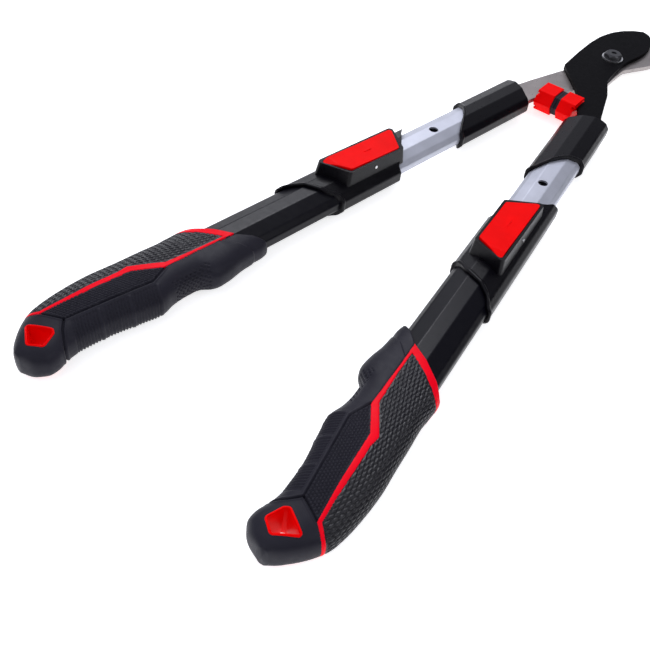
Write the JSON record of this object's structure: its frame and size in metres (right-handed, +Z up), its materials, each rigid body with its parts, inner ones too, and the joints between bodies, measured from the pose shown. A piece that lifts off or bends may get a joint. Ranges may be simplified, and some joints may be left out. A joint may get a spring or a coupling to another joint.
{
  "type": "bypass loppers",
  "caption": "Long-handled bypass loppers with a coated blade closing past a steel hook, octagonal telescopic handles with red rocker locks, and moulded grips with hanging holes.",
  "frame": {"origin": "centre of the footprint, on the plane it lies on", "axes": "+Y toward the cutting head along the line midway between the handles, +X toward the blade-side handle, +Z up out of the face with the lock buttons"},
  "size_m": [0.2479, 0.7389, 0.0389],
  "materials": {
    "hook_steel": "ground, slightly warm grey",
    "blade_coating": "matte non-stick coating",
    "bright_steel": "zinc plated",
    "dark_steel": "blackened steel",
    "spring_steel": "drawn wire",
    "silver_tube": "satin anodised",
    "black_tube": "satin black",
    "black_plastic": "fine moulded grain",
    "grey_nylon": "moulded",
    "red_plastic": "satin red moulding",
    "red_grip": "red moulding under the soft grip",
    "black_rubber": "soft overmould",
    "palm_rubber": "textured soft overmould"
  },
  "bodies": {
    "hook_side": {"hook": "hook_steel", "pivot_bolt": "dark_steel", "pivot_nut": "dark_steel", "pivot_cap": "black_plastic", "pivot_washer": "bright_steel", "left_bumper_block": "red_plastic", "left_bumper_pad": "black_rubber", "left_head_sleeve": "black_plastic", "left_inner_tube": "silver_tube", "left_tang_insert": "grey_nylon", "left_tang_rivets": "bright_steel", "left_guide_plug": "grey_nylon"},
    "blade_side": {"cutting_blade": "blade_coating", "right_bumper_block": "red_plastic", "right_bumper_pad": "black_rubber", "right_head_sleeve": "black_plastic", "right_inner_tube": "silver_tube", "right_tang_insert": "grey_nylon", "right_tang_rivets": "bright_steel", "right_guide_plug": "grey_nylon"},
    "left_handle": {"left_outer_tube": "black_tube", "left_collar": "black_plastic", "left_collar_screws": "dark_steel", "left_button_pin": "bright_steel", "left_button_spring": "spring_steel", "left_grip_core": "red_grip", "left_grip_overmould": "black_rubber", "left_grip_palm_pad": "palm_rubber"},
    "left_lever": {"left_lock_button": "red_plastic"},
    "left_latch": {"left_lock_pin": "bright_steel"},
    "right_handle": {"right_outer_tube": "black_tube", "right_collar": "black_plastic", "right_collar_screws": "dark_steel", "right_button_pin": "bright_steel", "right_button_spring": "spring_steel", "right_grip_core": "red_grip", "right_grip_overmould": "black_rubber", "right_grip_palm_pad": "palm_rubber"},
    "right_lever": {"right_lock_button": "red_plastic"},
    "right_latch": {"right_lock_pin": "bright_steel"}
  },
  "joints": [
    {"name": "blade_pivot", "type": "hinge", "parent": "hook_side", "child": "blade_side", "pos_m": [0, 0.2792, 0.015], "axis": [0, 0, 1], "range_deg": [0, 50]},
    {"name": "left_telescope", "type": "slide", "parent": "hook_side", "child": "left_handle", "axis": [-0.1382, -0.9904, 0], "range_m": [-0.057, 0.228]},
    {"name": "left_button_rock", "type": "hinge", "parent": "left_handle", "child": "left_lever", "pos_m": [-0.06508, -0.06228, 0.031], "axis": [-0.9904, 0.1382, 0], "range_deg": [0, 4.2], "deforming": ["left_button_spring"]},
    {"name": "left_latch_slide", "type": "slide", "parent": "left_handle", "child": "left_latch", "axis": [0, 0, -1], "range_m": [0, 0.0023]},
    {"name": "right_telescope", "type": "slide", "parent": "blade_side", "child": "right_handle", "axis": [0.1382, -0.9904, 0], "range_m": [-0.057, 0.228]},
    {"name": "right_button_rock", "type": "hinge", "parent": "right_handle", "child": "right_lever", "pos_m": [0.06508, -0.06228, 0.031], "axis": [-0.9904, -0.1382, 0], "range_deg": [0, 4.2], "deforming": ["right_button_spring"]},
    {"name": "right_latch_slide", "type": "slide", "parent": "right_handle", "child": "right_latch", "axis": [0, 0, -1], "range_m": [0, 0.0023]}
  ],
  "couplings": [
    {"joint": "left_latch_slide", "follows": "left_button_rock", "m_per_rad": 0.031},
    {"joint": "right_latch_slide", "follows": "right_button_rock", "m_per_rad": 0.031}
  ]
}
